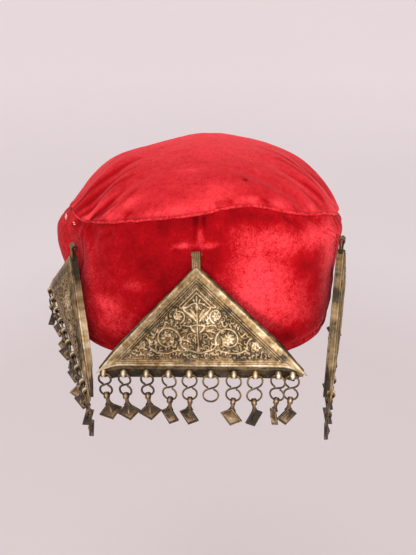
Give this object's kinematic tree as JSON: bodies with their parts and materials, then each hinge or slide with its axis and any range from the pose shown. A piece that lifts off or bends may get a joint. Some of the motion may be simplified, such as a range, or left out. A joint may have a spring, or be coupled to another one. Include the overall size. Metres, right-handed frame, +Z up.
{
  "type": "ornamented cap",
  "caption": "Soft domed velvet cap with three hollow triangular silver amulets, each hung by a thread and fringed with hooks and small square drops.",
  "frame": {"origin": "middle of the head opening, on the plane of the rim", "axes": "+Z up through the crown, -Y towards the wearer's face, +X to the side at the right seen from the front"},
  "size_m": [0.2231, 0.2322, 0.1586],
  "materials": {
    "velvet": "crushed pile",
    "silver": "chased and tarnished",
    "drops": "dark patina",
    "thread": "twisted"
  },
  "bodies": {
    "cap": {"back_band": "velvet", "crown": "velvet", "front_band": "velvet", "front_thread": "thread", "left_thread": "thread", "right_thread": "thread"},
    "front_amulet": {"front_case": "silver", "front_drop_01": "drops", "front_drop_02": "drops", "front_drop_03": "drops", "front_drop_04": "drops", "front_drop_05": "drops", "front_drop_07": "drops", "front_drop_08": "drops", "front_drop_09": "drops", "front_drop_10": "drops", "front_hook_01": "drops", "front_hook_02": "drops", "front_hook_03": "drops", "front_hook_04": "drops", "front_hook_05": "drops", "front_hook_06": "drops", "front_hook_07": "drops", "front_hook_08": "drops", "front_hook_09": "drops", "front_hook_10": "drops"},
    "left_amulet": {"left_case": "silver", "left_drop_01": "drops", "left_drop_02": "drops", "left_drop_03": "drops", "left_drop_04": "drops", "left_drop_05": "drops", "left_drop_06": "drops", "left_drop_07": "drops", "left_drop_08": "drops", "left_drop_09": "drops", "left_drop_10": "drops"},
    "right_amulet": {"right_case": "silver", "right_drop_01": "drops", "right_drop_02": "drops", "right_drop_03": "drops", "right_drop_04": "drops", "right_drop_05": "drops", "right_drop_06": "drops", "right_drop_07": "drops", "right_drop_08": "drops", "right_drop_09": "drops", "right_drop_10": "drops"}
  },
  "joints": [
    {"name": "front_amulet_hinge", "type": "hinge", "parent": "cap", "child": "front_amulet", "pos_m": [-0.0007, -0.0972, 0.0692], "axis": [-0.9952, 0.0826, -0.052], "range_deg": [0, 75]},
    {"name": "left_amulet_hinge", "type": "hinge", "parent": "cap", "child": "left_amulet", "pos_m": [-0.0747, -0.0696, 0.0616], "axis": [-0.4265, 0.8959, 0.1243], "range_deg": [0, 75]},
    {"name": "right_amulet_hinge", "type": "hinge", "parent": "cap", "child": "right_amulet", "pos_m": [0.0836, -0.0762, 0.0689], "axis": [-0.2567, -0.965, -0.054], "range_deg": [0, 75]}
  ]
}
